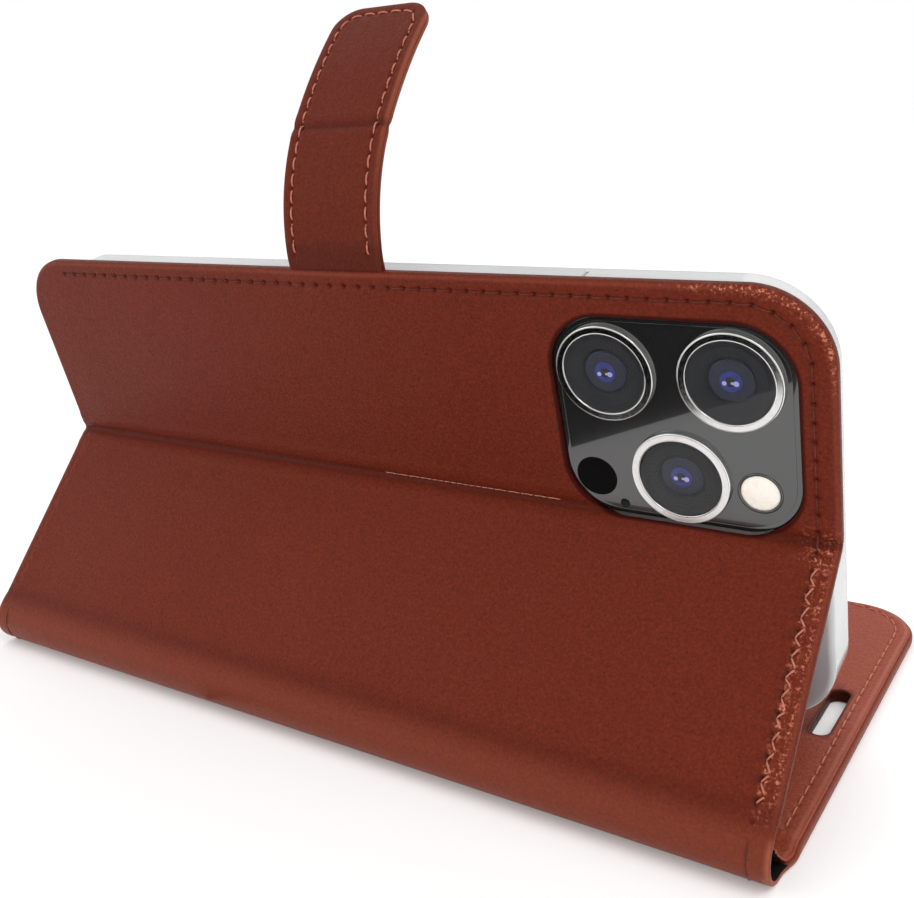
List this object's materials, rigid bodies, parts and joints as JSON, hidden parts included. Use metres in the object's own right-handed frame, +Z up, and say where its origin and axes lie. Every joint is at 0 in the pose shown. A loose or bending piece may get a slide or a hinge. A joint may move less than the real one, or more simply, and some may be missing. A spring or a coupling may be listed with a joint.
{
  "type": "phone wallet case",
  "caption": "Book-type leather phone wallet case folded into a landscape stand, with clear tray, card pockets, magnetic strap and a dummy handset in the tray.",
  "frame": {"origin": "bottom centre of the whole case's box as it stands, on the surface it stands on", "axes": "+X along the case towards the camera end, +Z up, the outer face of the back cover looks to -Y and the front cover lies flat to +Y"},
  "size_m": [0.168, 0.0941, 0.1211],
  "materials": {
    "outer_leather": "fine-grained brown imitation leather, soft satin",
    "lining_leather": "smooth brown imitation leather, lighter than the outside",
    "stiffener_board": "grey-brown fibreboard, hidden",
    "plated_steel": "zinc-plated, hidden",
    "magnet": "flexible ferrite, hidden",
    "clear_tray": "clear flexible plastic with a white cast",
    "handset_frame": "satin silver",
    "handset_back": "dark grey frosted glass",
    "handset_screen": "black polished glass",
    "camera_glass": "graphite, polished",
    "lens_ring": "polished bevel",
    "lens_glass": "dark coated glass",
    "flash_lens": "cream diffuser",
    "scanner_window": "black window",
    "microphone_mesh": "black mesh"
  },
  "bodies": {
    "front_cover": {"front_cover_skin": "outer_leather", "front_cover_board": "stiffener_board", "front_cover_lining": "lining_leather", "closure_plate": "plated_steel", "card_pocket_1": "lining_leather", "card_pocket_2": "lining_leather", "card_pocket_3": "lining_leather"},
    "spine": {"spine_skin": "outer_leather", "spine_lining": "lining_leather"},
    "back_lower": {"back_lower_skin": "outer_leather", "back_lower_board": "stiffener_board", "back_lower_lining": "lining_leather"},
    "back_upper": {"back_upper_skin": "outer_leather", "back_upper_board": "stiffener_board", "back_upper_lining": "lining_leather", "strap_tab": "outer_leather", "tray": "clear_tray"},
    "strap_root": {"strap_root_outer": "outer_leather", "strap_root_inner": "lining_leather"},
    "strap_tip": {"strap_tip_outer": "outer_leather", "strap_tip_inner": "lining_leather", "strap_magnet": "magnet"},
    "power_pad": {"power_pad": "clear_tray"},
    "volume_pad_1": {"volume_pad_1": "clear_tray"},
    "volume_pad_2": {"volume_pad_2": "clear_tray"},
    "phone": {"phone_frame": "handset_frame", "phone_back_glass": "handset_back", "phone_screen": "handset_screen", "phone_power_key": "handset_frame", "phone_volume_keys": "handset_frame", "camera_plateau": "camera_glass", "lens_ring_1": "lens_ring", "lens_ring_2": "lens_ring", "lens_ring_3": "lens_ring", "lens_glass_1": "lens_glass", "lens_glass_2": "lens_glass", "lens_glass_3": "lens_glass", "flash_lens": "flash_lens", "scanner_window": "scanner_window", "microphone_mesh": "microphone_mesh"}
  },
  "joints": [
    {"name": "cover_hinge", "type": "hinge", "parent": "front_cover", "child": "spine", "pos_m": [0, -0.04454, 0], "axis": [1, 0, 0], "range_deg": [0, 65.79]},
    {"name": "spine_hinge", "type": "hinge", "parent": "spine", "child": "back_lower", "pos_m": [0, -0.04719, 0.0059], "axis": [1, 0, 0], "range_deg": [0, 65.8]},
    {"name": "stand_crease", "type": "hinge", "parent": "back_lower", "child": "back_upper", "pos_m": [0, -0.01681, 0.04014], "axis": [1, 0, 0], "range_deg": [-55.2, 0]},
    {"name": "strap_root_bend", "type": "hinge", "parent": "back_upper", "child": "strap_root", "pos_m": [0, -0.02586, 0.08095], "axis": [-1, 0, 0], "range_deg": [-90, 50]},
    {"name": "strap_tip_bend", "type": "hinge", "parent": "strap_root", "child": "strap_tip", "pos_m": [0, -0.0209, 0.10138], "axis": [-1, 0, 0], "range_deg": [-60, 45]},
    {"name": "phone_slide", "type": "slide", "parent": "back_upper", "child": "phone", "axis": [0, 0.972, 0.2351], "range_m": [0, 0.012]},
    {"name": "power_pad_press", "type": "slide", "parent": "back_upper", "child": "power_pad", "axis": [0, 0.2351, -0.972], "range_m": [0, 0.0002], "stiffness_N_per_m": 3000},
    {"name": "volume_pad_1_press", "type": "slide", "parent": "back_upper", "child": "volume_pad_1", "axis": [0, -0.2351, 0.972], "range_m": [0, 0.0002], "stiffness_N_per_m": 3000},
    {"name": "volume_pad_2_press", "type": "slide", "parent": "back_upper", "child": "volume_pad_2", "axis": [0, -0.2351, 0.972], "range_m": [0, 0.0002], "stiffness_N_per_m": 3000}
  ],
  "couplings": [
    {"joint": "spine_hinge", "follows": "cover_hinge", "ratio": 1},
    {"joint": "stand_crease", "follows": "cover_hinge", "ratio": -0.8388}
  ]
}
